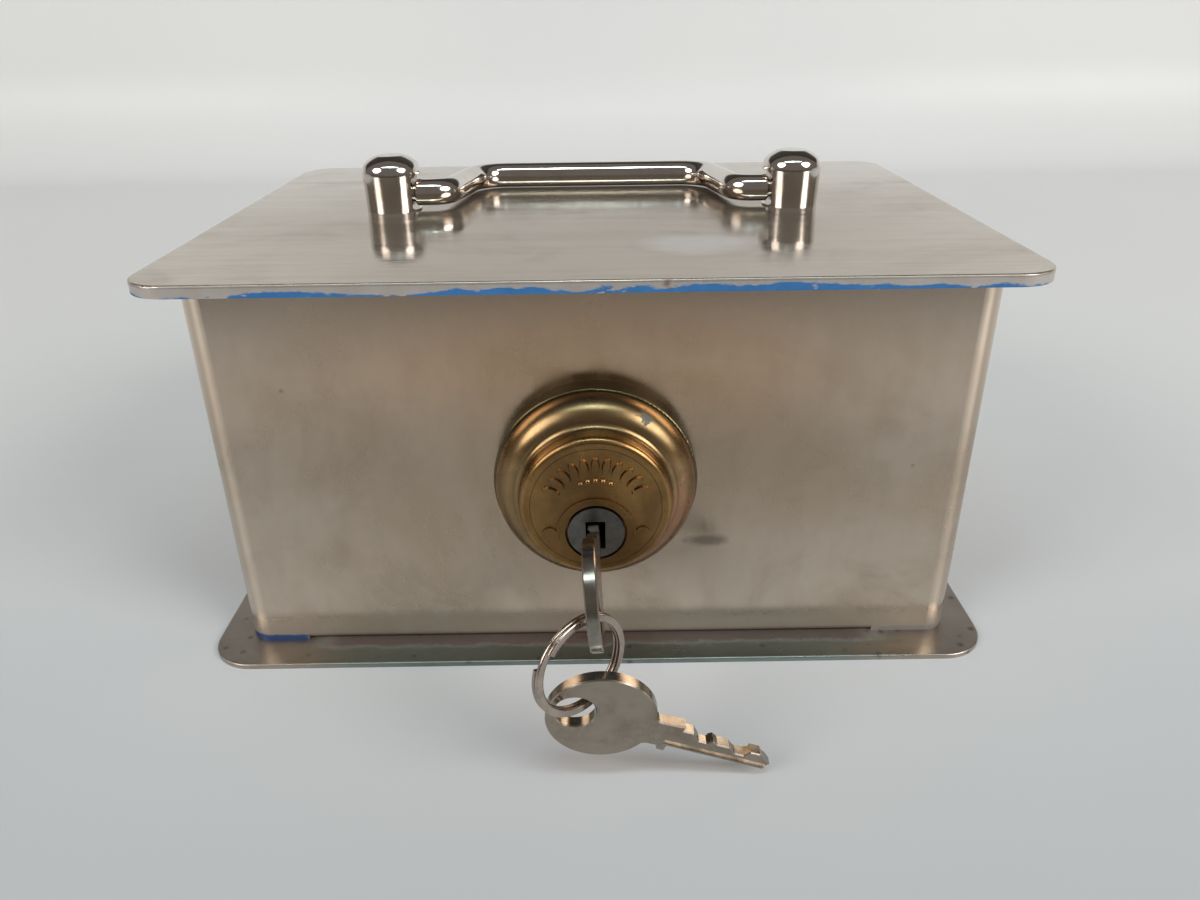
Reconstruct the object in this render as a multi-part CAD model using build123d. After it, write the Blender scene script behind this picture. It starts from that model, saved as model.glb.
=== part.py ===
from build123d import *
import os
from math import cos, sin, radians

# Toy safe coin bank: folded sheet-metal box on a base plate, hinged flat lid with a
# folding bail handle, brass rosette lock with two small keys on a split ring.
# Millimetres. +X right, +Y towards the back, +Z up. Origin: centre of the underside.

os.makedirs("parts", exist_ok=True)

# ---- base plate
base_x = 121.0
base_y = 90.5
base_t = 0.8
base_corner_r = 7.0
weld_dent_r = 1.5
weld_dent_depth = 0.15
weld_dent_x = (-38.0, -19.0, 0.0, 19.0, 38.0)
weld_dent_y = 34.0

# ---- wrapped body
body_x = 111.2
body_y = 78.0
body_corner_r = 3.5
wall_t = 0.8
body_z0 = base_t
body_z1 = 58.5
flange_x0 = -46.0
flange_x1 = 43.5
flange_depth = 8.0
bend_outer_r = 1.1
bend_inner_r = 0.3

# ---- lid
lid_x = 120.0
lid_y = 90.3
lid_t = 1.7
lid_z0 = body_z1
lid_z1 = lid_z0 + lid_t
lid_corner_r = 6.0
lid_edge_round = 0.3

# ---- coin slot and the deflector below it
slot_length = 36.0
slot_width = 4.6
slot_y = 30.0
guard_t = 0.6
guard_half_x = 21.0
guard_back_y = 37.4
guard_bend_y = 34.2
guard_tip_y = 23.5
guard_tip_z = 48.5

# ---- handle posts
post_cx = 33.4
post_cy = 0.8
post_r = 4.8
post_h = 8.85
post_side_h = 5.9
post_foot_r = 4.6
scoop_depth = 1.22
scoop_z0 = 0.25
scoop_z1 = 4.5
scoop_top = 5.75
pivot_h = 2.7
spigot_r = 1.5
spigot_hole_r = 1.56
spigot_hole_end = 33.7
stud_r = 2.0
stud_hole_r = 2.2
stud_length = 6.2
washer_r = 4.5
washer_t = 0.8
nut_flats = 7.0
nut_t = 3.2
thread_gap = 0.03

# ---- bail handle
rod_r = 2.17
bail_stub_x = 29.6
bail_corner_x = 24.4
bail_grip_corner_x = 21.0
bail_reach = 18.8
bail_stub_bend_r = 3.4
bail_grip_bend_r = 6.0
bail_droop = 1.4
spigot_end_x = 33.3

# ---- rear hinge
hinge_y = 41.25
hinge_z = 56.25
knuckle_r = 1.9
hinge_bore_r = 0.85
hinge_pin_r = 0.8
leaf_t = 0.8
leaf_half_x = 30.0
leaf_z0 = 46.0
leaf_notch_z = 54.0
body_knuckles = ((-30.0, -18.2), (-5.9, 5.9), (18.2, 30.0))
lid_knuckles = ((-17.8, -6.3), (6.3, 17.8))
knuckle_gap = 0.4
lid_leaf_y0 = 39.4
lid_leaf_y1 = 44.6
lid_leaf_notch_y = 43.55
pin_head_r = 1.4
pin_head_t = 0.5
rivet_x = (-24.0, -8.0, 8.0, 24.0)
rivet_z = 49.6
rivet_r = 1.2
rivet_hole_r = 1.25
rivet_head_r = 2.2
rivet_head_t = 0.9

# ---- lock
front_y = -body_y / 2
rosette_z = 30.0
rosette_r = 14.45
face_proud = 10.6
face_y = front_y - face_proud
boss_r = 10.45
head_r = 8.9
head_bore_r = 8.96
petal_mid_r = 6.55
petal_long = 1.25
petal_wide = 0.6
petal_h = 0.4
petal_step = 13.0
petal_side = 5
ridge_w = 0.35
ridge_h = 0.28
arch_r = 5.45
scallop_x = 6.35
scallop_r = 1.0
barrel_r = 8.5
barrel_bore_r = 8.56
head_back_y = -43.0
barrel_back_y = -25.0
wall_hole_r = 8.6
lock_nut_flats = 23.0
lock_nut_t = 3.0
plug_z = 26.2
plug_flange_r = 3.88
plug_pocket_r = 4.25
plug_flange_t = 1.2
plug_pocket_t = 1.35
plug_r = 3.6
plug_bore_r = 3.66
plug_back_y = -24.85
keyway_x0 = -1.45
keyway_x1 = 1.25
keyway_low = 2.5
keyway_high = 1.75
keyway_back_y = -35.4
pin_y = (-46.6, -43.6, -40.6, -37.6)
pin_r = 0.9
chamber_r = 0.96
key_pin_z0 = 28.05
key_pin_z1 = 29.6
driver_z0 = 29.92
driver_z1 = 32.9
spring_z0 = 33.1
spring_z1 = 36.7
spring_r = 0.64
spring_wire_r = 0.13
spring_pitch = 0.6
chamber_cap_z0 = 37.0
chamber_cap_z1 = 38.2
tail_half = 2.2
tail_hole_half = 2.25
tail_end_y = -22.4
stop_pin_r = 0.9
stop_pin_h = 6.6
stop_pin_end_y = -23.9
stop_washer_y0 = -24.75
stop_washer_y1 = -23.85
stop_hub_r = 4.6
stop_sector_r = 7.6
stop_free_angle = 9.5
cam_y0 = -23.7
cam_y1 = -22.2
cam_hub_r = 4.6
cam_half_w = 3.0
cam_length = 17.0
cam_screw_head_r = 3.5
cam_screw_head_t = 1.8
cam_screw_r = 1.2
cam_screw_end_y = -28.0

# ---- keeper bracket under the lid
keeper_t = 1.2
keeper_x0 = -18.0
keeper_x1 = -11.0
keeper_front_y = -20.4
keeper_lip_y = -24.6
keeper_lip_z = 21.4
keeper_flange_y = -9.0
keeper_flange_side = 3.0

# ---- keys (own frame: bow centre at the origin, blade along +X, cuts towards +Y)
key_t = 1.6
bow_r = 7.0
key_hole_u = -3.5
key_hole_r = 2.6
key_tip_u = 24.0
key_groove_w = 0.7
key_groove_d = 0.35
key1_bow_y = -64.0
key1_shift_x = -0.4
key1_lean = 4.5

# ---- split ring
ring_r = 6.32
ring_strand_w = 0.56
ring_strand_d = 1.1
ring_edge_r = 0.25
ring_turn = 41.2
ring_tilt = 1.2
ring_windings = 1.94
ring_top_angle = 67.7
ring_low_angle = -93.2
ring_hang = 0.6
spare_hang = 0.1
spare_shift = -0.6
spare_yaw = 0.7
spare_lean = -8.0
spare_slope = 22.4


def save(shape, name):
    """Write one sub-part in the shared frame."""
    export_step(shape, "parts/" + name + ".step")


def box(x0, x1, y0, y1, z0, z1):
    """Box between two opposite corners."""
    size = Box(x1 - x0, y1 - y0, z1 - z0)
    return Pos((x0 + x1) / 2, (y0 + y1) / 2, (z0 + z1) / 2) * size


def slab(x, y, z0, z1, corner):
    """Rounded rectangle centred on the Z axis."""
    outline = RectangleRounded(x, y, corner)
    return Pos(0, 0, z0) * extrude(outline, amount=z1 - z0)


def rod_z(x, y, z0, z1, r):
    """Round bar along Z."""
    return Pos(x, y, (z0 + z1) / 2) * Cylinder(r, z1 - z0)


def rod_y(x, z, y0, y1, r):
    """Round bar along Y."""
    return Pos(x, (y0 + y1) / 2, z) * Rot(90, 0, 0) * Cylinder(r, y1 - y0)


def rod_x(y, z, x0, x1, r):
    """Round bar along X."""
    return Pos((x0 + x1) / 2, y, z) * Rot(0, 90, 0) * Cylinder(r, x1 - x0)


def hex_z(x, y, z0, z1, flats):
    """Hexagonal bar along Z, size across flats."""
    outline = RegularPolygon(flats / 2, 6, major_radius=False)
    return Pos(x, y, z0) * extrude(outline, amount=z1 - z0)


# ---------------------------------------------------------------- base plate
def make_base():
    """Flat steel plate, dented below where the body flanges are spot welded."""
    plate = slab(base_x, base_y, 0, base_t, base_corner_r)
    plate = fillet(plate.edges().group_by(Axis.Z)[-1], 0.25)
    for x in weld_dent_x:
        for y in (-weld_dent_y, weld_dent_y):
            plate -= rod_z(x, y, -1, weld_dent_depth, weld_dent_r)
    return plate


# ---------------------------------------------------------------- body
def make_flange():
    """Front bottom flange: quarter bend under the wall and a strip on the base."""
    z0 = body_z0
    y0 = front_y
    bend_y = y0 + bend_outer_r
    bend_z = z0 + bend_outer_r
    strip = box(flange_x0, flange_x1, bend_y, y0 + flange_depth, z0, z0 + wall_t)
    tube = rod_x(bend_y, bend_z, flange_x0, flange_x1, bend_outer_r)
    tube -= rod_x(bend_y, bend_z, flange_x0 - 1, flange_x1 + 1, bend_inner_r)
    quarter = box(flange_x0, flange_x1, y0, bend_y, z0, bend_z)
    return strip + (tube & quarter)


def make_body():
    """Four walls bent from one strip, lower edge rolled inwards front and back."""
    inner_r = body_corner_r - wall_t
    wall = slab(body_x, body_y, body_z0, body_z1, body_corner_r)
    wall -= slab(body_x - 2 * wall_t, body_y - 2 * wall_t, body_z0 - 1, body_z1 + 1, inner_r)
    relief = box(flange_x0, flange_x1, front_y - 1, front_y + 2, 0, body_z0 + bend_outer_r)
    flange = make_flange()
    body = wall - relief - mirror(relief, Plane.XZ)
    body = body + flange + mirror(flange, Plane.XZ)
    body -= rod_y(0, rosette_z, front_y - 2, front_y + 3, wall_hole_r)
    for x in rivet_x:
        body -= rod_y(x, rivet_z, -front_y - 3, -front_y + 2, rivet_hole_r)
    return body


# ---------------------------------------------------------------- lid
def make_lid():
    """Flat lid plate with the coin slot and the two stud holes."""
    plate = slab(lid_x, lid_y, lid_z0, lid_z1, lid_corner_r)
    plate = fillet(plate.edges().group_by(Axis.Z)[-1], lid_edge_round)
    slot = SlotOverall(slot_length, slot_width)
    plate -= Pos(0, slot_y, lid_z0 - 1) * extrude(slot, amount=lid_t + 2)
    for x in (-post_cx, post_cx):
        plate -= rod_z(x, post_cy, lid_z0 - 1, lid_z1 + 1, stud_hole_r)
    return plate


def make_coin_guard():
    """Bent sheet under the slot, so that coins cannot be shaken out again."""
    z = lid_z0
    rise = (guard_bend_y - guard_tip_y)
    drop = (z - guard_tip_z)
    lift = guard_t * (rise ** 2 + drop ** 2) ** 0.5 / rise
    points = [
        (guard_back_y, z),
        (guard_bend_y, z),
        (guard_tip_y, guard_tip_z),
        (guard_tip_y, guard_tip_z - lift),
        (guard_bend_y + 0.2, z - guard_t),
        (guard_back_y, z - guard_t),
    ]
    outline = make_face(Polyline(*points, close=True))
    sheet = extrude(Plane.YZ * outline, amount=guard_half_x, both=True)
    cheek_points = [
        (guard_bend_y, z),
        (guard_tip_y, guard_tip_z),
        (guard_tip_y, guard_tip_z + 3.5),
        (guard_tip_y + 4.5, z),
    ]
    cheek_face = make_face(Polyline(*cheek_points, close=True))
    cheek = extrude(Plane.YZ * cheek_face, amount=guard_t)
    left = Pos(-guard_half_x, 0, 0) * cheek
    right = Pos(guard_half_x - guard_t, 0, 0) * cheek
    return sheet + left + right


# ---------------------------------------------------------------- handle
def make_post(side):
    """Turned post with a domed top, scooped on its inner side, stud below."""
    rise = post_h - post_side_h
    side_line = Line((post_foot_r, 0), (post_r, post_side_h))
    dome_points = [
        (post_r, post_side_h),
        (0.89 * post_r, post_side_h + 0.57 * rise),
        (0.57 * post_r, post_side_h + 0.91 * rise),
        (0, post_h),
    ]
    dome = Spline(*dome_points, tangents=[(0, 1), (-1, 0)])
    foot_line = Line((0, 0), (post_foot_r, 0))
    axis_line = Line((0, post_h), (0, 0))
    face = make_face([foot_line, side_line, dome, axis_line])
    post = revolve(Plane.XZ * face, Axis.Z)
    flat = post_r - scoop_depth
    out = post_r + 1
    cut_a = Line((out, scoop_z0), (flat, scoop_z0))
    cut_b = Line((flat, scoop_z0), (flat, scoop_z1))
    shoulder = (flat + 0.3, scoop_z1 + 0.8)
    cut_c = Spline((flat, scoop_z1), shoulder, (out, scoop_top), tangents=[(0, 1), (1, 0)])
    cut_d = Line((out, scoop_top), (out, scoop_z0))
    cutter = make_face([cut_a, cut_b, cut_c, cut_d])
    post -= extrude(Plane.XZ * cutter, amount=out, both=True)
    hole_end = post_cx - spigot_hole_end
    post -= rod_x(0, pivot_h, hole_end, post_r + 1, spigot_hole_r)
    post += rod_z(0, 0, -stud_length, 0.1, stud_r)
    if side > 0:
        post = mirror(post, Plane.YZ)
    return Pos(side * post_cx, post_cy, lid_z1) * post


def make_washers():
    """One flat washer under the lid on each stud."""
    both = []
    for x in (-post_cx, post_cx):
        ring = rod_z(x, post_cy, lid_z0 - washer_t, lid_z0, washer_r)
        ring -= rod_z(x, post_cy, lid_z0 - washer_t - 1, lid_z0 + 1, stud_hole_r)
        both.append(ring)
    return Compound(children=both)


def make_nuts():
    """One hexagon nut on each stud."""
    both = []
    z1 = lid_z0 - washer_t
    for x in (-post_cx, post_cx):
        nut = hex_z(x, post_cy, z1 - nut_t, z1, nut_flats)
        nut -= rod_z(x, post_cy, z1 - nut_t - 1, z1 + 1, stud_r + thread_gap)
        nut &= Pos(x, post_cy, z1 - nut_t / 2) * Cylinder(nut_flats * 0.555, nut_t)
        both.append(nut)
    return Compound(children=both)


def make_bail():
    """Round rod bent into a flat bail, thinner spigots turned outwards."""
    points = [
        (-bail_stub_x, 0, 0),
        (-bail_corner_x, 0, 0),
        (-bail_grip_corner_x, bail_reach, 0),
        (bail_grip_corner_x, bail_reach, 0),
        (bail_corner_x, 0, 0),
        (bail_stub_x, 0, 0),
    ]
    radii = [bail_stub_bend_r, bail_grip_bend_r, bail_grip_bend_r, bail_stub_bend_r]
    path = FilletPolyline(*points, radius=radii)
    start = Plane(origin=points[0], z_dir=(1, 0, 0))
    rod = sweep(start * Circle(rod_r), path=path)
    rod = chamfer(rod.faces().filter_by(Axis.X).edges(), 0.3)
    for x0, x1 in ((-spigot_end_x, -bail_stub_x + 0.2), (bail_stub_x - 0.2, spigot_end_x)):
        rod += rod_x(0, 0, x0, x1, spigot_r)
    return Pos(0, post_cy, lid_z1 + pivot_h) * Rot(-bail_droop, 0, 0) * rod


# ---------------------------------------------------------------- hinge
def make_body_leaf():
    """Outer leaf riveted to the back wall, with three rolled knuckles."""
    y0 = -front_y
    leaf = box(-leaf_half_x, leaf_half_x, y0, y0 + leaf_t, leaf_z0, hinge_z)
    for x0, x1 in lid_knuckles:
        gap = knuckle_gap
        leaf -= box(x0 - gap, x1 + gap, y0 - 1, y0 + 2, leaf_notch_z, hinge_z + 1)
    for x0, x1 in body_knuckles:
        leaf += rod_x(hinge_y, hinge_z, x0, x1, knuckle_r)
    leaf -= rod_x(hinge_y, hinge_z, -leaf_half_x - 1, leaf_half_x + 1, hinge_bore_r)
    for x in rivet_x:
        leaf -= rod_y(x, rivet_z, y0 - 1, y0 + 2, rivet_hole_r)
    return leaf


def make_lid_leaf():
    """Leaf welded under the lid's rear overhang, with two rolled knuckles."""
    leaf = box(-leaf_half_x, leaf_half_x, lid_leaf_y0, lid_leaf_y1, lid_z0 - leaf_t, lid_z0)
    for x0, x1 in body_knuckles:
        gap = knuckle_gap
        leaf -= box(x0 - gap, x1 + gap, lid_leaf_y0 - 1, lid_leaf_notch_y, lid_z0 - 2, lid_z0 + 1)
    for x0, x1 in lid_knuckles:
        leaf += rod_x(hinge_y, hinge_z, x0, x1, knuckle_r)
    leaf -= rod_x(hinge_y, hinge_z, -leaf_half_x - 1, leaf_half_x + 1, hinge_bore_r)
    return leaf


def make_hinge_pin():
    """Headed pin through all five knuckles."""
    end = leaf_half_x + 0.1
    pin = rod_x(hinge_y, hinge_z, -end, end, hinge_pin_r)
    pin += rod_x(hinge_y, hinge_z, -end - pin_head_t, -end, pin_head_r)
    pin += rod_x(hinge_y, hinge_z, end, end + pin_head_t, pin_head_r)
    return pin


def make_rivets():
    """Four rivets, domed outside and inside."""
    out = -front_y + leaf_t
    inn = -front_y - wall_t
    row = []
    for x in rivet_x:
        shank = rod_y(x, rivet_z, inn - 0.3, out + 0.3, rivet_r)
        head_out = rod_y(x, rivet_z, out, out + rivet_head_t, rivet_head_r)
        head_in = rod_y(x, rivet_z, inn - rivet_head_t, inn, rivet_head_r)
        head_out = fillet(head_out.edges().group_by(Axis.Y)[-1], 0.7)
        head_in = fillet(head_in.edges().group_by(Axis.Y)[0], 0.7)
        row.append(shank + head_out + head_in)
    return Compound(children=row)


# ---------------------------------------------------------------- lock
def on_lock(sketch):
    """Revolve a (radius, height above the wall) outline about the lock axis."""
    solid = revolve(Plane.XZ * sketch, Axis.Z)
    return Pos(0, front_y, rosette_z) * Rot(90, 0, 0) * solid


def make_rosette():
    """Turned brass rosette: rim, lip, bead, cove and rounded boss."""
    top = face_proud
    r = rosette_r
    lip = 3.3
    bead = 14.05
    cove = 11.5
    shelf = front_y - head_back_y
    pieces = [
        Line((barrel_bore_r, 0), (r, 0)),
        Line((r, 0), (r, lip - 0.3)),
        ThreePointArc((r, lip - 0.3), (r - 0.06, lip - 0.08), (r - 0.25, lip)),
        Line((r - 0.25, lip), (bead, lip)),
        ThreePointArc((bead, lip), (13.62, 5.55), (cove, 7.15)),
        ThreePointArc((cove, 7.15), (10.78, 7.45), (boss_r, 8.2)),
        Line((boss_r, 8.2), (boss_r, top - 0.9)),
        ThreePointArc((boss_r, top - 0.9), (boss_r - 0.25, top - 0.25), (boss_r - 0.9, top)),
        Line((boss_r - 0.9, top), (head_bore_r, top)),
        Line((head_bore_r, top), (head_bore_r, shelf)),
        Line((head_bore_r, shelf), (barrel_bore_r, shelf)),
        Line((barrel_bore_r, shelf), (barrel_bore_r, 0)),
    ]
    return on_lock(make_face(pieces))


def make_petal(angle):
    """One raised leaf of the border on the lock face."""
    petal = Rot(0, 0, angle) * Pos(petal_mid_r, 0, 0) * Ellipse(petal_long, petal_wide)
    return extrude(petal, amount=petal_h, taper=20)


def make_arch(x, z, r, y_low):
    """Thin raised half ring on the lock face."""
    arch = rod_y(x, z, face_y - ridge_h, face_y + 0.1, r)
    arch -= rod_y(x, z, face_y - 1, face_y + 1, r - ridge_w)
    arch -= box(x - 9, x + 9, face_y - 1, face_y + 1, z - 9, z + y_low)
    return arch


def make_cylinder():
    """Brass lock cylinder: head, barrel, plug bore, chambers and stop pin."""
    barrel = rod_y(0, rosette_z, face_y, head_back_y, head_r)
    barrel += rod_y(0, rosette_z, head_back_y, barrel_back_y, barrel_r)
    ornament = []
    for k in range(-petal_side, petal_side + 1):
        ornament.append(make_petal(90 + petal_step * k))
    for k in (-2, -1, 0, 1, 2):
        bead = Rot(0, 0, 90 + 14 * k) * Pos(4.3, 0, 0) * Sphere(0.42)
        ornament.append(bead & Pos(0, 0, 1) * Box(20, 20, 2))
    relief = Pos(0, face_y, rosette_z) * Rot(90, 0, 0) * Compound(children=ornament)
    for leaf in relief.solids():
        barrel += leaf
    barrel += make_arch(0, plug_z, arch_r, -0.8)
    for x in (-scallop_x, scallop_x):
        barrel += make_arch(x, plug_z, scallop_r, 0.0)
    barrel -= rod_y(0, plug_z, face_y - 2, face_y + plug_pocket_t, plug_pocket_r)
    barrel -= rod_y(0, plug_z, face_y, barrel_back_y + 1, plug_bore_r)
    for y in pin_y:
        barrel -= rod_z(0, y, plug_z, rosette_z + head_r + 1, chamber_r)
    barrel += rod_y(0, plug_z + stop_pin_h, barrel_back_y - 1, stop_pin_end_y, stop_pin_r)
    return barrel


def make_lock_nut():
    """Large thin hexagon nut that clamps the lock to the wall."""
    y0 = front_y + wall_t
    y1 = y0 + lock_nut_t
    outline = RegularPolygon(lock_nut_flats / 2, 6, major_radius=False)
    nut = Pos(0, y1, rosette_z) * Rot(90, 0, 0) * extrude(outline, amount=lock_nut_t)
    nut -= rod_y(0, rosette_z, y0 - 1, y1 + 1, barrel_r + thread_gap)
    nut &= rod_y(0, rosette_z, y0, y1, lock_nut_flats * 0.56)
    return nut


def make_plug():
    """Turning plug with the keyway, pin chambers and a square tail."""
    plug = rod_y(0, plug_z, face_y - 0.05, face_y + plug_flange_t, plug_flange_r)
    plug += rod_y(0, plug_z, face_y, plug_back_y, plug_r)
    plug += box(-tail_half, tail_half, plug_back_y, tail_end_y, plug_z - tail_half, plug_z + tail_half)
    z0 = plug_z - keyway_low
    z1 = plug_z + keyway_high
    plug -= box(keyway_x0, keyway_x1, face_y - 1, keyway_back_y, z0, z1)
    for y in pin_y:
        plug -= rod_z(0, y, plug_z, plug_z + plug_r + 1, chamber_r)
    plug -= rod_y(0, plug_z, cam_screw_end_y - 0.4, tail_end_y + 1, cam_screw_r + thread_gap)
    return plug


def make_pins(z0, z1, tip):
    """Row of four small pins; tip is the height of the tapered lower end."""
    row = []
    for y in pin_y:
        pin = rod_z(0, y, z0 + tip, z1, pin_r)
        cone = Pos(0, y, z0 + tip / 2) * Cone(pin_r * 0.5, pin_r, tip)
        row.append(pin + cone)
    return Compound(children=row)


def make_springs():
    """Four compression springs above the driver pins."""
    row = []
    for y in pin_y:
        path = Helix(spring_pitch, spring_z1 - spring_z0, spring_r)
        start = Plane(origin=path @ 0, z_dir=path % 0)
        coil = sweep(start * Circle(spring_wire_r), path=path, is_frenet=True)
        row.append(Pos(0, y, spring_z0) * coil)
    return Compound(children=row)


def make_chamber_caps():
    """Short brass plugs that close the chambers from above."""
    row = []
    for y in pin_y:
        row.append(rod_z(0, y, chamber_cap_z0, chamber_cap_z1, chamber_r - thread_gap))
    return Compound(children=row)


def square_hole(part):
    """Cut the square tail hole through a plate on the plug tail."""
    h = tail_hole_half
    return part - box(-h, h, -30, -20, plug_z - h, plug_z + h)


def make_stop_washer():
    """Half-moon washer that lets the plug turn half a turn between stops."""
    y0 = stop_washer_y0
    y1 = stop_washer_y1
    disc = rod_y(0, plug_z, y0, y1, stop_sector_r)
    far = 20.0
    a = radians(stop_free_angle)
    side = far * sin(a)
    high = far * cos(a)
    points = [(0, 0), (-side, high), (far, high), (far, -high), (-side, -high)]
    wedge = extrude(make_face(Polyline(*points, close=True)), amount=5)
    wedge = Pos(0, y1 + 2, plug_z) * Rot(90, 0, 0) * wedge
    full = disc - wedge
    full += rod_y(0, plug_z, y0, y1, stop_hub_r)
    return square_hole(full)


def make_cam():
    """Flat tongue that swings over the keeper lip."""
    cam = rod_y(0, plug_z, cam_y0, cam_y1, cam_hub_r)
    tongue = box(0, cam_length, cam_y0, cam_y1, plug_z - cam_half_w, plug_z + cam_half_w)
    tongue = fillet(tongue.edges().filter_by(Axis.Y).group_by(Axis.X)[-1], 1.5)
    return square_hole(cam + tongue)


def make_cam_screw():
    """Slotted screw with a broad head that holds the tongue on the tail."""
    head = rod_y(0, plug_z, cam_y1, cam_y1 + cam_screw_head_t, cam_screw_head_r)
    head = fillet(head.edges().group_by(Axis.Y)[-1], 0.6)
    head -= box(-5, 5, cam_y1 + cam_screw_head_t - 0.8, cam_y1 + 5, plug_z - 0.4, plug_z + 0.4)
    return head + rod_y(0, plug_z, cam_screw_end_y, cam_y1 + 0.1, cam_screw_r)


def make_keeper():
    """Bracket hanging from the lid: flange, long web and a hooked lip."""
    x0 = keeper_x0
    x1 = keeper_x1
    yb = keeper_front_y + keeper_t
    web = box(x0, x1, keeper_front_y, yb, keeper_lip_z, lid_z0)
    lip = box(x0, x1, keeper_lip_y, yb, keeper_lip_z, keeper_lip_z + keeper_t)
    side = keeper_flange_side
    flange = box(x0 - side, x1 + side, keeper_front_y, keeper_flange_y, lid_z0 - keeper_t, lid_z0)
    bracket = web + lip + flange
    outer = bracket.edges().filter_by(Axis.X).group_by(Axis.Z)[0].sort_by(Axis.Y)[-1]
    bracket = fillet(outer, 1.0)
    rib = make_face(Polyline((yb - 0.1, 57.5), (yb + 6, 57.5), (yb - 0.1, 45), close=True))
    rib = extrude(Plane.YZ * rib, amount=0.5, both=True)
    return bracket + Pos((x0 + x1) / 2, 0, 0) * rib


# ---------------------------------------------------------------- keys and ring
def make_key():
    """Flat key: round bow with a hole, shoulder, lug, cut and grooved blade."""
    bow = Circle(bow_r)
    blade_points = [
        (4.0, 3.6),
        (7.0, 2.0),
        (7.6, 1.9),
        (10.6, 2.1),
        (10.6, 1.4),
        (12.0, 1.4),
        (13.2, 0.3),
        (14.2, 0.3),
        (14.9, 0.9),
        (15.7, 0.5),
        (17.4, 0.5),
        (18.6, -0.3),
        (19.8, -0.3),
        (20.4, 0.6),
        (21.8, 0.6),
        (key_tip_u, -1.0),
        (key_tip_u - 0.7, -2.0),
        (9.7, -2.0),
        (9.7, -3.0),
        (8.7, -3.0),
        (8.3, -2.3),
        (7.0, -2.4),
        (4.0, -3.6),
    ]
    blade = make_face(Polyline(*blade_points, close=True))
    outline = bow + blade - Pos(key_hole_u, 0) * Circle(key_hole_r)
    key = extrude(outline, amount=key_t / 2, both=True)
    key = chamfer(key.faces().group_by(Axis.Z)[-1].edges(), 0.15)
    key = chamfer(key.faces().group_by(Axis.Z)[0].edges(), 0.15)
    w = key_groove_w / 2
    low = key_t / 2 - key_groove_d
    key -= box(9.0, key_tip_u + 1, -1.2 - w, -1.2 + w, low, key_t)
    key -= box(9.0, key_tip_u + 1, 0.1 - w, 0.1 + w, -key_t, -low)
    return key


ring_a = Vector(cos(radians(ring_turn)), sin(radians(ring_turn)), 0)
ring_side = Vector(-sin(radians(ring_turn)), cos(radians(ring_turn)), 0)
ring_b = Vector(0, 0, 1) * cos(radians(ring_tilt)) + ring_side * sin(radians(ring_tilt))


def on_ring(centre, angle):
    """Point of the ring's middle line at an angle from its right-hand side."""
    a = radians(angle)
    return centre + ring_a * (ring_r * cos(a)) + ring_b * (ring_r * sin(a))


# key in the lock: plate upright, cuts up, blade towards +Y, leaning in the loose keyway
key1_place = Pos(key1_shift_x, key1_bow_y, plug_z) * Rot(0, -key1_lean, 0)
key1_plane = Plane(origin=(0, 0, 0), x_dir=(0, 1, 0), z_dir=(1, 0, 0))
key1_hole = Vector(key1_shift_x, key1_bow_y + key_hole_u, plug_z)
ring_cross = key1_hole - Vector(0, 0, ring_hang)
ring_centre = ring_cross - on_ring(Vector(0, 0, 0), ring_top_angle)

# spare key: hangs on the ring just above the table
yaw = radians(spare_yaw)
lean = radians(spare_lean)
slope = radians(spare_slope)
spare_side = Vector(cos(yaw), sin(yaw), 0)
spare_back = Vector(-sin(yaw), cos(yaw), 0)
spare_up = Vector(0, 0, 1) * cos(lean) + spare_back * sin(lean)
spare_x = spare_side * cos(slope) - spare_up * sin(slope)
spare_y = spare_side * sin(slope) + spare_up * cos(slope)
spare_low = on_ring(ring_centre, ring_low_angle)
spare_hole = spare_low - spare_up * spare_hang + spare_side * spare_shift
spare_bow = spare_hole - spare_x * key_hole_u


def make_ring():
    """Split ring: one flat wire wound almost twice."""
    height = ring_windings * (ring_strand_w + 0.02)
    path = Helix(ring_strand_w + 0.02, height, ring_r)
    section_plane = Plane(origin=path @ 0, x_dir=(1, 0, 0), z_dir=path % 0)
    section = section_plane * RectangleRounded(ring_strand_d, ring_strand_w, ring_edge_r)
    coil = Pos(0, 0, -height / 2) * sweep(section, path=path, is_frenet=True)
    coil = Rot(0, 0, 160) * coil
    place = Plane(origin=ring_centre, x_dir=ring_a, z_dir=ring_a.cross(ring_b))
    return place.location * coil


key_shape = make_key()
key1 = key1_place * (key1_plane.location * key_shape)
spare_plane = Plane(origin=spare_bow, x_dir=spare_x, z_dir=spare_x.cross(spare_y))
spare = spare_plane.location * key_shape

save(make_base(), "base_plate")
save(make_body(), "body_wrap")
save(make_lid(), "lid_plate")
save(make_coin_guard(), "coin_guard")
save(make_post(-1), "handle_post_left")
save(make_post(1), "handle_post_right")
save(make_washers(), "post_washers")
save(make_nuts(), "post_nuts")
save(make_bail(), "handle_bail")
save(make_body_leaf(), "hinge_body_leaf")
save(make_lid_leaf(), "hinge_lid_leaf")
save(make_hinge_pin(), "hinge_pin")
save(make_rivets(), "hinge_rivets")
save(make_rosette(), "lock_rosette")
save(make_cylinder(), "lock_cylinder")
save(make_lock_nut(), "lock_nut")
save(make_plug(), "lock_plug")
save(make_pins(key_pin_z0, key_pin_z1, 0.5), "key_pins")
save(make_pins(driver_z0, driver_z1, 0.2), "driver_pins")
save(make_springs(), "pin_springs")
save(make_chamber_caps(), "chamber_caps")
save(make_stop_washer(), "stop_washer")
save(make_cam(), "lock_cam")
save(make_cam_screw(), "cam_screw")
save(make_keeper(), "lid_keeper")
save(key1, "lock_key")
save(spare, "spare_key")
save(make_ring(), "key_ring")
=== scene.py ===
import bpy, bmesh, math
import numpy as np
from mathutils import Matrix, Vector


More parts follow.
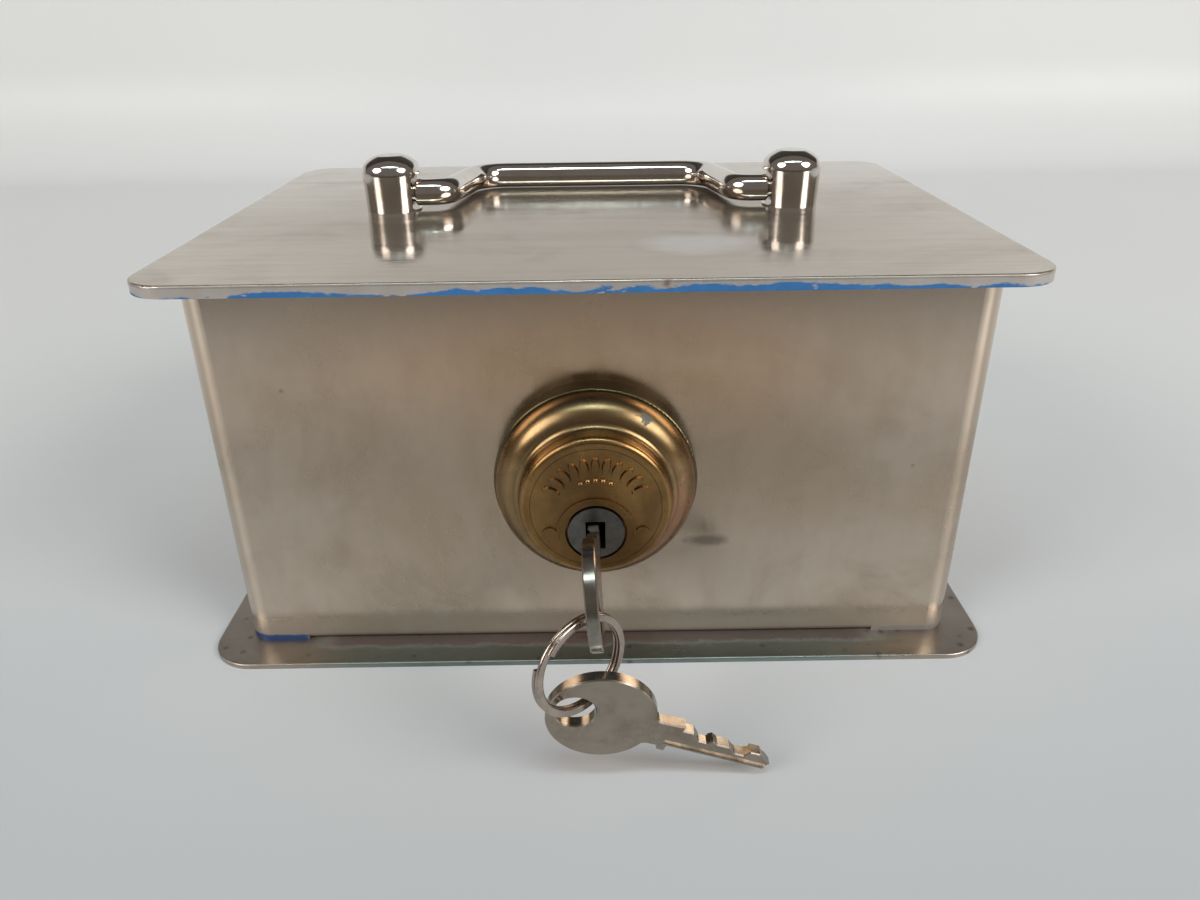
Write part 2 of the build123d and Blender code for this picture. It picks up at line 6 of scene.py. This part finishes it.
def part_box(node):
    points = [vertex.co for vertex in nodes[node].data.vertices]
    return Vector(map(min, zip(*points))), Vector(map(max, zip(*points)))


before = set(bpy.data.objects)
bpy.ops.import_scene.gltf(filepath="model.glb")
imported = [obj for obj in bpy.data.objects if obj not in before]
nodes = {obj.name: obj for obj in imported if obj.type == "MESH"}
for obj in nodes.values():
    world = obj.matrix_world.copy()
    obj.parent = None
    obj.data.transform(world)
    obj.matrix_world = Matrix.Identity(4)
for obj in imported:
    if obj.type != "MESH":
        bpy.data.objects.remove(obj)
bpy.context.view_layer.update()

scene = bpy.context.scene
scene.view_settings.view_transform = "Standard"
scene.view_settings.look = "None"
scene.view_settings.exposure = 0.0
scene.view_settings.gamma = 1.0

MM = 0.001


# ------------------------------------------------------------------ camera
CAMERA_PLACE_MM = (0.397, -155.231, 90.991)
CAMERA_YAW_PITCH_ROLL = (0.1433, 26.2852, -0.7780)
CAMERA_LENS_MM = 27.106
CAMERA_SENSOR_MM = 36.0


def make_camera():
    """The photograph's view."""
    cam_data = bpy.data.cameras.new("camera")
    cam_data.sensor_width = CAMERA_SENSOR_MM
    cam_data.lens = CAMERA_LENS_MM
    cam_data.clip_start = 0.005
    cam_data.clip_end = 20.0
    cam = bpy.data.objects.new("camera", cam_data)
    scene.collection.objects.link(cam)
    yaw, pitch, roll = (math.radians(a) for a in CAMERA_YAW_PITCH_ROLL)
    fwd = Vector((math.sin(yaw) * math.cos(pitch), math.cos(yaw) * math.cos(pitch), -math.sin(pitch)))
    right = Vector((math.cos(yaw), -math.sin(yaw), 0))
    up = right.cross(fwd)
    cx = math.cos(roll) * right + math.sin(roll) * up
    cy = -math.sin(roll) * right + math.cos(roll) * up
    rot = Matrix((cx, cy, -fwd)).transposed().to_4x4()
    cam.matrix_world = Matrix.Translation(Vector(CAMERA_PLACE_MM) * MM) @ rot
    scene.camera = cam


make_camera()


# ------------------------------------------------------------------ shader helpers
class Mat:
    """Small builder for one procedural material in object space."""

    def __init__(self, name):
        self.mat = bpy.data.materials.new(name)
        self.mat.use_nodes = True
        self.t = self.mat.node_tree
        self.t.nodes.clear()
        self.out = self.t.nodes.new("ShaderNodeOutputMaterial")
        self.bsdf = self.t.nodes.new("ShaderNodeBsdfPrincipled")
        self.t.links.new(self.bsdf.outputs[0], self.out.inputs[0])
        self.tc = self.t.nodes.new("ShaderNodeTexCoord")
        self.pos = self.tc.outputs["Object"]
        self.normal = self.tc.outputs["Normal"]

    def put(self, socket, value):
        if isinstance(value, bpy.types.NodeSocket):
            self.t.links.new(value, socket)
        elif value is not None:
            if isinstance(value, (tuple, list)) and len(value) == 3 and socket.type == "RGBA":
                value = (*value, 1.0)
            socket.default_value = value

    def set(self, **values):
        for name, value in values.items():
            self.put(self.bsdf.inputs[name.replace("_", " ")], value)

    def mapping(self, scale=(1, 1, 1), loc=(0, 0, 0)):
        n = self.t.nodes.new("ShaderNodeMapping")
        self.put(n.inputs["Vector"], self.pos)
        n.inputs["Scale"].default_value = scale
        n.inputs["Location"].default_value = loc
        return n.outputs[0]

    def noise(self, scale, detail=4.0, rough=0.55, stretch=(1, 1, 1), loc=(0, 0, 0), distort=0.0):
        n = self.t.nodes.new("ShaderNodeTexNoise")
        self.put(n.inputs["Vector"], self.mapping(stretch, loc))
        n.inputs["Scale"].default_value = scale
        n.inputs["Detail"].default_value = detail
        n.inputs["Roughness"].default_value = rough
        n.inputs["Distortion"].default_value = distort
        return n.outputs["Fac"]

    def voronoi(self, scale):
        n = self.t.nodes.new("ShaderNodeTexVoronoi")
        n.feature = "F1"
        self.put(n.inputs["Vector"], self.mapping())
        n.inputs["Scale"].default_value = scale
        return n.outputs["Distance"]

    def ramp(self, fac, lo, hi, a=0.0, b=1.0):
        n = self.t.nodes.new("ShaderNodeMapRange")
        n.interpolation_type = "SMOOTHSTEP"
        self.put(n.inputs["Value"], fac)
        self.put(n.inputs["From Min"], lo)
        self.put(n.inputs["From Max"], hi)
        self.put(n.inputs["To Min"], a)
        self.put(n.inputs["To Max"], b)
        return n.outputs["Result"]

    def math(self, op, a, b=None, clamp=False):
        n = self.t.nodes.new("ShaderNodeMath")
        n.operation = op
        n.use_clamp = clamp
        self.put(n.inputs[0], a)
        if b is not None:
            self.put(n.inputs[1], b)
        return n.outputs[0]

    def mix(self, fac, a, b):
        n = self.t.nodes.new("ShaderNodeMix")
        n.data_type = "RGBA"
        n.blend_type = "MIX"
        self.put(n.inputs[0], fac)
        self.put(n.inputs[6], a)
        self.put(n.inputs[7], b)
        return n.outputs[2]

    def lerp(self, fac, a, b):
        n = self.t.nodes.new("ShaderNodeMix")
        n.data_type = "FLOAT"
        self.put(n.inputs[0], fac)
        self.put(n.inputs[2], a)
        self.put(n.inputs[3], b)
        return n.outputs[0]

    def axis(self, which, src=None):
        n = self.t.nodes.new("ShaderNodeSeparateXYZ")
        self.put(n.inputs[0], src or self.pos)
        return n.outputs[which]

    def dist(self, centre, stretch=(1, 1, 1)):
        """Distance in metres from a point, with each axis scaled."""
        n = self.t.nodes.new("ShaderNodeVectorMath")
        n.operation = "SUBTRACT"
        self.put(n.inputs[0], self.pos)
        n.inputs[1].default_value = centre
        m = self.t.nodes.new("ShaderNodeVectorMath")
        m.operation = "MULTIPLY"
        self.put(m.inputs[0], n.outputs[0])
        m.inputs[1].default_value = stretch
        k = self.t.nodes.new("ShaderNodeVectorMath")
        k.operation = "LENGTH"
        self.put(k.inputs[0], m.outputs[0])
        return k.outputs["Value"]

    def dot(self, src, direction):
        n = self.t.nodes.new("ShaderNodeVectorMath")
        n.operation = "DOT_PRODUCT"
        self.put(n.inputs[0], src)
        n.inputs[1].default_value = direction
        return n.outputs["Value"]

    def add(self, a, b):
        return self.math("ADD", a, b)

    def sub(self, a, b):
        return self.math("SUBTRACT", a, b)

    def mul(self, a, b):
        return self.math("MULTIPLY", a, b)

    def absolute(self, a):
        return self.math("ABSOLUTE", a)

    def tint(self, colour, mask, amount, target):
        """Move a colour towards another one where the mask is on."""
        return self.mix(self.mul(mask, amount), colour, target)

    def ragged(self, value, noise, reach):
        """Shift a value up and down by a noise, so that its border is uneven."""
        return self.add(value, self.ramp(noise, 0, 1, -reach, reach))

    def lathe_marks(self, centre, pitch):
        """Fine turning marks round an axis along Y."""
        return self.math("SINE", self.mul(self.dist(centre, (1, 0, 1)), pitch))

    def bump(self, height, distance, strength=1.0, after=None):
        n = self.t.nodes.new("ShaderNodeBump")
        n.inputs["Strength"].default_value = strength
        n.inputs["Distance"].default_value = distance
        self.put(n.inputs["Height"], height)
        if after is not None:
            self.put(n.inputs["Normal"], after)
        return n.outputs[0]


def paint(node, mat):
    """Give a carried-over node one material."""
    ob = nodes[node]
    ob.data.materials.clear()
    ob.data.materials.append(mat)
    return ob


# ------------------------------------------------------------------ places on the bank, in metres
BODY_HALF_X = 0.0556
BODY_HALF_Y = 0.0390
WALL_Y = -BODY_HALF_Y
ROSETTE_CENTRE = (0.0, 0.0, 0.030)
PLUG_CENTRE = (0.0, 0.0, 0.0262)
HALO_CENTRE = (0.0, WALL_Y, 0.0360)
SMUDGE_CENTRE = (0.0162, WALL_Y, 0.0182)
WATER_MARK_XY = (0.0150, -0.0270)
RUBBED_XY = (0.003, -0.014)
RUST_DOT_XY = (0.0094, -0.0451)
PAINT_CENTRE_X = -0.008
RED_PATCH_CENTRE = (0.0115, -0.0440, 0.0210)
PATINA_CENTRE = (0.0067, -0.0450, 0.0411)
# the painted shade inside the keyway begins at this Y on the key
KEY_KEYWAY_SHADE_Y = -0.0520


# ------------------------------------------------------------------ materials
def nickel_sheet(name, base, dark, warm, brush, rough, seed):
    """Old satin nickel plate: brushed grain, clouds, stains and fine scratches."""
    m = Mat(name)
    cloud = m.ramp(m.noise(22, 5, 0.6, loc=seed, distort=1.2), 0.38, 0.68)
    patch = m.ramp(m.noise(75, 5, 0.62, loc=seed, distort=0.6), 0.45, 0.72)
    grain = m.noise(260, 3, 0.6, stretch=brush, loc=seed)
    fine = m.noise(1400, 2, 0.5, stretch=brush, loc=seed)
    colour = m.mix(cloud, base, warm)
    colour = m.tint(colour, patch, 0.45, dark)
    colour = m.mix(m.ramp(grain, 0.35, 0.75, 0.0, 0.22), colour, dark)
    r = m.lerp(cloud, rough, rough + 0.09)
    r = m.add(r, m.ramp(grain, 0.3, 0.7, -0.03, 0.05))
    r = m.add(r, m.ramp(patch, 0.0, 1.0, 0.0, 0.06))
    normal = m.bump(m.noise(9, 2, 0.5, loc=seed), 0.0006, 0.5)
    normal = m.bump(fine, 0.000012, 0.6, normal)
    return m, colour, r, normal


def lid_top(m, colour, top):
    """Brushed streaks, a painted reflection lightening the back, a rubbed brown middle and a dried
    water mark.
    """
    streak = m.ramp(m.noise(700, 5, 0.7, stretch=(0.05, 1, 1), loc=(1, 6, 0)), 0.40, 0.66)
    colour = m.tint(colour, streak, 0.55, (0.33, 0.27, 0.21))
    # painted reflection: the back of the top is painted lighter, where the sheet mirrors the bright
    # backdrop
    colour = m.mix(m.ramp(m.axis("Y"), 0.0, 0.040, 0.0, 0.5), colour, (0.66, 0.62, 0.57))
    cloudy = m.ramp(m.noise(60, 5, 0.6, stretch=(0.25, 1, 1)), 0.35, 0.7)
    middle = m.ramp(m.dist((*RUBBED_XY, top), (0.60, 0.85, 1)), 0.014, 0.046, 1.0, 0.0)
    brown = m.mix(cloudy, (0.37, 0.305, 0.24), (0.285, 0.225, 0.165))
    colour = m.tint(colour, middle, 0.85, brown)
    d = m.ragged(m.dist((*WATER_MARK_XY, top), (0.75, 1, 1)), m.noise(180, 3), 0.0016)
    ring = m.sub(m.ramp(d, 0.0062, 0.0068), m.ramp(d, 0.0069, 0.0080))
    inside = m.ramp(d, 0.0030, 0.0070, 1.0, 0.0)
    colour = m.tint(colour, ring, 0.45, (0.27, 0.245, 0.22))
    return m.tint(colour, inside, 0.42, (0.60, 0.59, 0.60))


def lid_paint(m, side, chips, z, low):
    """Where old blue paint is left: the edge's lower half and much of the underside."""
    patchy = m.noise(60, 3, 0.6, loc=(5, 2, 1))
    level = m.add(z, m.ramp(chips, 0.25, 0.75, -0.00030, 0.00030))
    level = m.add(level, m.ramp(patchy, 0.3, 0.7, -0.00035, 0.00055))
    from_centre = m.absolute(m.add(m.axis("X"), -PAINT_CENTRE_X))
    level = m.add(level, m.ramp(from_centre, 0.030, 0.048, 0.0, 0.00045))
    on_edge = m.mul(m.ramp(level, low + 0.00065, low + 0.00095, 1.0, 0.0), side)
    flakes = m.noise(700, 3, 0.6, stretch=(0.35, 1, 1), loc=(1, 1, 4))
    on_edge = m.mul(on_edge, m.ramp(flakes, 0.33, 0.40))
    under = m.ramp(m.axis("Z", m.normal), -0.9, -0.5, 1.0, 0.0)
    under = m.mul(under, m.ramp(m.noise(140, 4, 0.7), 0.35, 0.55))
    return m.math("MAXIMUM", on_edge, under)


def lid_material():
    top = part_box("lid_plate")[1].z
    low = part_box("lid_plate")[0].z
    m, colour, r, normal = nickel_sheet(
        "lid_nickel", (0.58, 0.515, 0.445), (0.38, 0.32, 0.26), (0.50, 0.43, 0.345),
        (0.05, 1, 1), 0.085, (3, 1, 0))
    colour = lid_top(m, colour, top)
    # edge of the sheet: its faces get a lighter colour, a painted sheen, mottled at random
    side = m.ramp(m.absolute(m.axis("Z", m.normal)), 0.35, 0.75, 1.0, 0.0)
    z = m.axis("Z")
    chips = m.noise(420, 4, 0.7, stretch=(0.4, 1, 1))
    edge_painted_sheen = m.mix(m.noise(260, 4, 0.7), (0.66, 0.62, 0.60), (0.40, 0.35, 0.31))
    # painted sheen: the edge faces are painted lighter than the top
    colour = m.tint(colour, side, 0.8, edge_painted_sheen)
    painted = lid_paint(m, side, chips, z, low)
    # painted reflection: a dark line just under the top of the edge, where the rounded edge mirrors
    # the dark room
    dark_edge_reflection = m.ramp(m.absolute(m.sub(z, top - 0.00028)), 0.0, 0.0002, 1.0, 0.0)
    colour = m.tint(colour, m.mul(side, dark_edge_reflection), 0.35, (0.06, 0.055, 0.05))
    blue = m.mix(m.noise(500, 3), (0.020, 0.105, 0.300), (0.045, 0.190, 0.430))
    colour = m.mix(painted, colour, blue)
    rust = m.ragged(m.dist((*RUST_DOT_XY, top - 0.0006)), chips, 0.0009)
    rust = m.ramp(rust, 0.0003, 0.0012, 1.0, 0.0)
    colour = m.tint(colour, rust, 0.85, (0.12, 0.060, 0.025))
    metal = m.math("SUBTRACT", 1.0, m.math("MAXIMUM", painted, m.mul(rust, 0.8)), True)
    metal = m.mul(metal, m.lerp(side, 0.78, 0.45))
    r = m.lerp(painted, m.add(r, m.mul(side, 0.2)), 0.5)
    normal = m.bump(painted, 0.00004, 0.6, normal)
    m.set(Base_Color=colour, Roughness=r, Metallic=metal, Normal=normal)
    return m.mat


def body_material():
    m, colour, r, normal = nickel_sheet(
        "body_nickel", (0.60, 0.515, 0.425), (0.40, 0.325, 0.25), (0.53, 0.43, 0.33),
        (1, 1, 0.35), 0.17, (0, 7, 2))
    x = m.axis("X")
    z = m.axis("Z")
    blotch = m.noise(55, 5, 0.7, loc=(2, 2, 2))
    halo = m.ramp(m.dist(HALO_CENTRE, (0.50, 1, 1)), 0.010, 0.032, 1.0, 0.0)
    colour = m.tint(colour, halo, 0.45, (0.36, 0.26, 0.165))
    # painted light: the wall under the lid's overhang is painted lighter and warmer, to offset the
    # shade the lid casts there
    upper_painted_light = m.ramp(m.ragged(z, blotch, 0.004), 0.030, 0.056)
    upper_painted_light_colour = m.mix(halo, (0.80, 0.655, 0.52), (0.80, 0.52, 0.31))
    colour = m.tint(colour, upper_painted_light, 0.75, upper_painted_light_colour)
    # grime above the bottom fold
    low = m.ramp(m.ragged(z, blotch, 0.0005), 0.0010, 0.0066, 1.0, 0.0)
    colour = m.tint(colour, low, 0.62, (0.12, 0.105, 0.085))
    # dark smudge beside the lock
    smudge = m.ragged(m.dist(SMUDGE_CENTRE, (0.36, 1, 1.0)), blotch, 0.0010)
    smudge = m.ramp(smudge, 0.0006, 0.0017, 1.0, 0.0)
    colour = m.tint(colour, smudge, 0.8, (0.19, 0.15, 0.12))
    # corners near the base keep some of the old blue paint
    corner = m.add(m.ramp(x, -0.0466, -0.0455, 1.0, 0.0), m.ramp(x, 0.0440, 0.0450, 0.0, 0.25))
    corner = m.mul(corner, m.ramp(m.ragged(z, blotch, 0.0006), 0.0013, 0.0017, 1.0, 0.0))
    colour = m.mix(corner, colour, (0.022, 0.06, 0.19))
    spots = m.ramp(m.voronoi(150), 0.02, 0.07, 1.0, 0.0)
    spots = m.mul(spots, m.ramp(m.noise(40, 2), 0.55, 0.7))
    colour = m.tint(colour, spots, 0.5, (0.22, 0.13, 0.08))
    r = m.add(r, m.mul(m.math("MAXIMUM", low, smudge), 0.3))
    metal = m.sub(1.0, m.mul(m.math("MAXIMUM", corner, low), 0.7))
    m.set(Base_Color=colour, Roughness=r, Metallic=metal, Normal=normal)
    return m.mat


def base_material():
    m, colour, r, normal = nickel_sheet(
        "base_nickel", (0.29, 0.33, 0.31), (0.15, 0.165, 0.145), (0.24, 0.265, 0.24),
        (0.2, 1, 1), 0.28, (4, 4, 1))
    across = m.absolute(m.axis("X"))
    uneven = m.noise(300, 4, 0.7)
    # rust, deepened by painted shade in the crease, where the ledge meets the front wall
    dx = m.sub(across, BODY_HALF_X)
    dy = m.sub(m.absolute(m.axis("Y")), BODY_HALF_Y)
    from_wall = m.absolute(m.math("MAXIMUM", dx, dy))
    rust_and_shade_by_wall = m.ramp(m.ragged(from_wall, uneven, 0.0009), 0.0016, 0.0031, 1.0, 0.0)
    rust_and_shade_by_wall = m.mul(rust_and_shade_by_wall, m.ramp(m.axis("Z", m.normal), 0.4, 0.8))
    rust_and_shade_by_wall = m.mul(rust_and_shade_by_wall, m.ramp(across, 0.040, 0.047, 1.0, 0.0))
    rust_and_shade_by_wall = m.mul(rust_and_shade_by_wall, m.ramp(m.axis("Y"), -0.036, -0.030, 1.0, 0.25))
    ends = m.ramp(m.ragged(across, uneven, 0.004), 0.034, 0.050)
    colour = m.mix(ends, colour, m.mix(m.noise(160, 4, 0.6), (0.50, 0.44, 0.385), (0.33, 0.28, 0.235)))
    specks = m.mul(m.ramp(m.voronoi(420), 0.10, 0.30, 1.0, 0.0), m.ramp(m.noise(90, 3), 0.42, 0.6))
    colour = m.tint(colour, specks, 0.55, (0.06, 0.04, 0.03))
    rust = m.mix(m.noise(700, 3, 0.7), (0.030, 0.018, 0.014), (0.11, 0.045, 0.030))
    colour = m.tint(colour, rust_and_shade_by_wall, 0.85, rust)
    r = m.add(r, m.mul(rust_and_shade_by_wall, 0.4))
    metal = m.sub(1.0, m.mul(rust_and_shade_by_wall, 0.8))
    normal = m.bump(uneven, 0.00003, 0.4, normal)
    m.set(Base_Color=colour, Roughness=r, Metallic=metal, Normal=normal)
    return m.mat


def chrome_material():
    m = Mat("chrome")
    haze = m.noise(240, 4, 0.65)
    scratch = m.noise(900, 2, 0.5, stretch=(1, 1, 0.12))
    colour = m.mix(m.ramp(haze, 0.4, 0.75, 0.0, 0.5), (0.72, 0.675, 0.63), (0.56, 0.49, 0.43))
    r = m.ramp(haze, 0.3, 0.8, 0.07, 0.13)
    m.set(Base_Color=colour, Roughness=r, Metallic=1.0, Normal=m.bump(scratch, 0.000006, 0.5))
    return m.mat


def brass_material():
    """Aged brass: orange on the flat face, olive on the rim, one red patch and one patina spot."""
    m = Mat("aged_brass")
    y = m.axis("Y")
    blotch = m.noise(120, 5, 0.65, distort=0.8)
    fine = m.noise(420, 4, 0.6)
    aged = m.ramp(blotch, 0.35, 0.7)
    colour = m.mix(aged, (0.285, 0.185, 0.085), (0.20, 0.14, 0.075))
    flat = m.ramp(y, -0.0478, -0.0472, 1.0, 0.0)
    colour = m.tint(colour, flat, 0.85, m.mix(aged, (0.33, 0.185, 0.065), (0.21, 0.115, 0.045)))
    colour = m.mix(m.ramp(fine, 0.5, 0.8, 0.0, 0.5), colour, (0.13, 0.105, 0.055))
    rim = m.mul(m.ramp(y, -0.0426, -0.0422), m.ramp(y, -0.0392, -0.0389, 1.0, 0.0))
    colour = m.tint(colour, rim, 0.85, m.mix(fine, (0.115, 0.105, 0.050), (0.055, 0.050, 0.030)))
    red = m.ragged(m.dist(RED_PATCH_CENTRE, (0.8, 1, 0.55)), blotch, 0.003)
    red = m.ramp(red, 0.0020, 0.0085, 1.0, 0.0)
    colour = m.tint(colour, red, 0.42, (0.34, 0.15, 0.13))
    spot = m.ragged(m.dist(PATINA_CENTRE), m.noise(900, 4, 0.7), 0.0016)
    spot = m.ramp(spot, 0.0004, 0.0012, 1.0, 0.0)
    colour = m.tint(colour, spot, 0.8, (0.085, 0.10, 0.09))
    r = m.add(m.ramp(blotch, 0.3, 0.8, 0.25, 0.38), m.mul(spot, 0.3))
    normal = m.bump(m.lathe_marks(ROSETTE_CENTRE, 26000), 0.0000012, 0.35)
    normal = m.bump(fine, 0.00001, 0.5, normal)
    m.set(Base_Color=colour, Roughness=r, Metallic=m.lerp(spot, 1.0, 0.25), Normal=normal)
    return m.mat


def plug_material():
    m = Mat("plug_steel")
    fine = m.noise(500, 4, 0.65)
    colour = m.mix(m.ramp(fine, 0.35, 0.75), (0.25, 0.245, 0.235), (0.13, 0.125, 0.115))
    r = m.ramp(fine, 0.3, 0.8, 0.28, 0.42)
    normal = m.bump(m.lathe_marks(PLUG_CENTRE, 40000), 0.000002, 0.4)
    m.set(Base_Color=colour, Roughness=r, Metallic=1.0, Normal=normal)
    return m.mat


def key_material(name, normal_dir, keyway_shade_y=1.0):
    """Worn nickel plate over brass: the cut edges show the brass; painted shade darkens the blade
    behind the given Y, inside the keyway.
    """
    m = Mat(name)
    blotch = m.noise(220, 4, 0.65)
    fine = m.noise(1100, 3, 0.6)
    edge = m.ramp(m.absolute(m.dot(m.normal, normal_dir)), 0.4, 0.8, 1.0, 0.0)
    colour = m.mix(m.ramp(blotch, 0.35, 0.75), (0.36, 0.305, 0.25), (0.25, 0.205, 0.165))
    brassy = m.mix(m.ramp(fine, 0.3, 0.7), (0.33, 0.305, 0.26), (0.24, 0.22, 0.185))
    colour = m.mix(m.mul(edge, m.ramp(blotch, 0.3, 0.6, 0.45, 0.95)), colour, brassy)
    colour = m.mix(m.ramp(fine, 0.62, 0.8, 0.0, 0.35), colour, (0.22, 0.17, 0.12))
    # painted shade: the blade is darkened and dulled inside the keyway
    keyway_shade = m.ramp(m.axis("Y"), keyway_shade_y - 0.003, keyway_shade_y)
    colour = m.tint(colour, keyway_shade, 0.9, (0.05, 0.044, 0.04))
    r = m.add(m.ramp(blotch, 0.3, 0.8, 0.22, 0.34), m.mul(edge, -0.05))
    r = m.add(r, m.mul(keyway_shade, 0.45))
    scratch = m.noise(700, 3, 0.6, stretch=(0.25, 1, 1))
    normal = m.bump(m.add(fine, scratch), 0.000015, 0.45)
    m.set(Base_Color=colour, Roughness=r, Metallic=1.0, Normal=normal)
    return m.mat


def plain_metal(name, light, dark, rough, scale=300, grain=(1, 1, 1)):
    """Plain metal with slight blotches; grain stretches the fine marks."""
    m = Mat(name)
    blotch = m.noise(scale, 4, 0.65)
    fine = m.noise(scale * 4, 3, 0.6, stretch=grain)
    colour = m.mix(m.ramp(blotch, 0.35, 0.75), light, dark)
    r = m.ramp(blotch, 0.3, 0.8, rough, rough + 0.15)
    m.set(Base_Color=colour, Roughness=r, Metallic=1.0, Normal=m.bump(fine, 0.00001, 0.5))
    return m.mat


def plane_normal(node):
    """Direction in which a flat piece is thinnest."""
    co = np.array([v.co for v in nodes[node].data.vertices])
    co = co - co.mean(0)
    return tuple(float(c) for c in np.linalg.svd(co, full_matrices=False)[2][2])


paint("lid_plate", lid_material())
paint("body_wrap", body_material())
paint("base_plate", base_material())
chrome = chrome_material()
for name in ("handle_post_left", "handle_post_right", "handle_bail"):
    paint(name, chrome)
brass = brass_material()
for name in ("lock_rosette", "lock_cylinder", "lock_nut"):
    paint(name, brass)
paint("lock_plug", plug_material())
paint("lock_key", key_material("key_nickel", plane_normal("lock_key"), KEY_KEYWAY_SHADE_Y))
paint("spare_key", key_material("spare_key_nickel", plane_normal("spare_key")))
paint("key_ring", plain_metal("ring_wire", (0.46, 0.39, 0.335), (0.34, 0.28, 0.24), 0.16, 500))
steel = plain_metal("rolled_steel", (0.44, 0.44, 0.43), (0.30, 0.30, 0.29), 0.28, 140, (0.1, 1, 1))
zinc = plain_metal("zinc_plate", (0.56, 0.57, 0.56), (0.42, 0.42, 0.40), 0.25, 500)
pin_brass = plain_metal("pin_brass", (0.62, 0.47, 0.22), (0.48, 0.36, 0.16), 0.22, 600)
spring = plain_metal("spring_wire", (0.50, 0.50, 0.51), (0.36, 0.36, 0.36), 0.2, 900)
for name in ("coin_guard", "lid_keeper", "hinge_body_leaf", "hinge_lid_leaf", "lock_cam"):
    paint(name, steel)
for name in ("post_washers", "post_nuts", "hinge_pin", "hinge_rivets", "stop_washer", "cam_screw"):
    paint(name, zinc)
for name in ("key_pins", "driver_pins", "chamber_caps"):
    paint(name, pin_brass)
paint("pin_springs", spring)


# ------------------------------------------------------------------ floor, backdrop, light
FLOOR_HALF_X = 1.6
FLOOR_FRONT_Y = -1.2
BACKDROP_Y = 0.442
BACKDROP_TOP = 1.2
BEND_R = 0.06
BEND_STEPS = 12


def floor_material():
    """Pale card, with painted shade that makes it darker towards the camera and high up, where the
    metal would mirror the room.
    """
    m = Mat("floor_card")
    y = m.axis("Y")
    colour = m.mix(m.noise(6, 3, 0.5), (0.72, 0.715, 0.72), (0.77, 0.765, 0.755))
    # painted shade: the card is painted darker towards the camera, as a falloff of the light
    front_painted_falloff = m.mix(m.noise(9, 2), (0.495, 0.505, 0.525), (0.52, 0.525, 0.54))
    colour = m.mix(m.ramp(y, -0.12, 0.10, 1.0, 0.0), colour, front_painted_falloff)
    # painted shade: near black high up and far in front, standing in for the unlit room that the metal
    # mirrors
    colour = m.mix(m.ramp(m.axis("Z"), 0.28, 0.40), colour, (0.05, 0.045, 0.04))
    colour = m.mix(m.ramp(y, -0.30, -0.13, 1.0, 0.0), colour, (0.03, 0.026, 0.022))
    m.set(Base_Color=colour, Roughness=0.42, Normal=m.bump(m.noise(900, 3, 0.6), 0.00002, 0.3))
    m.bsdf.inputs["Specular IOR Level"].default_value = 0.35
    return m.mat


def make_floor():
    """Flat floor that bends up into the backdrop."""
    bm = bmesh.new()
    bend_y = BACKDROP_Y - BEND_R
    profile = [(FLOOR_FRONT_Y, 0.0), (-0.6, 0.0), (-0.2, 0.0), (0.1, 0.0), (bend_y, 0.0)]
    for k in range(1, BEND_STEPS + 1):
        a = math.radians(90 * k / BEND_STEPS)
        profile.append((bend_y + BEND_R * math.sin(a), BEND_R - BEND_R * math.cos(a)))
    profile.append((BACKDROP_Y, BACKDROP_TOP))
    left = [bm.verts.new((-FLOOR_HALF_X, y, z)) for y, z in profile]
    right = [bm.verts.new((FLOOR_HALF_X, y, z)) for y, z in profile]
    for k in range(len(profile) - 1):
        f = bm.faces.new((left[k], right[k], right[k + 1], left[k + 1]))
        f.smooth = True
    me = bpy.data.meshes.new("floor")
    bm.to_mesh(me)
    bm.free()
    ob = bpy.data.objects.new("floor", me)
    scene.collection.objects.link(ob)
    ob.data.materials.append(floor_material())


def area(name, loc, target, size, power, colour):
    """Elliptical area light at a place, aimed at a target."""
    data = bpy.data.lights.new(name, "AREA")
    data.shape = "ELLIPSE"
    data.size, data.size_y = size
    data.energy = power
    data.color = colour
    ob = bpy.data.objects.new(name, data)
    scene.collection.objects.link(ob)
    ob.location = loc
    ob.rotation_euler = (Vector(target) - Vector(loc)).to_track_quat("-Z", "Y").to_euler()


def make_world(colour, strength):
    """Even dim light from all round."""
    world = bpy.data.worlds.new("studio")
    scene.world = world
    world.use_nodes = True
    background = world.node_tree.nodes["Background"]
    background.inputs["Color"].default_value = (*colour, 1)
    background.inputs["Strength"].default_value = strength


make_floor()
area("left_window", (-0.85, -0.62, 0.60), (0, 0, 0.03), (0.70, 0.75), 6.7, (1.0, 0.97, 0.93))
area("right_window", (0.85, -0.62, 0.60), (0, 0, 0.03), (0.70, 0.75), 9.4, (1.0, 0.98, 0.95))
area("top_strip", (0.0, -0.40, 0.95), (0, -0.02, 0.05), (1.0, 0.15), 2.8, (0.72, 0.93, 1.0))
area("front_lamp", (0.0, -0.42, 0.95), (0, -0.04, 0.03), (0.16, 0.16), 0.5, (0.86, 0.96, 1.0))
make_world((0.86, 0.77, 0.70), 0.19)
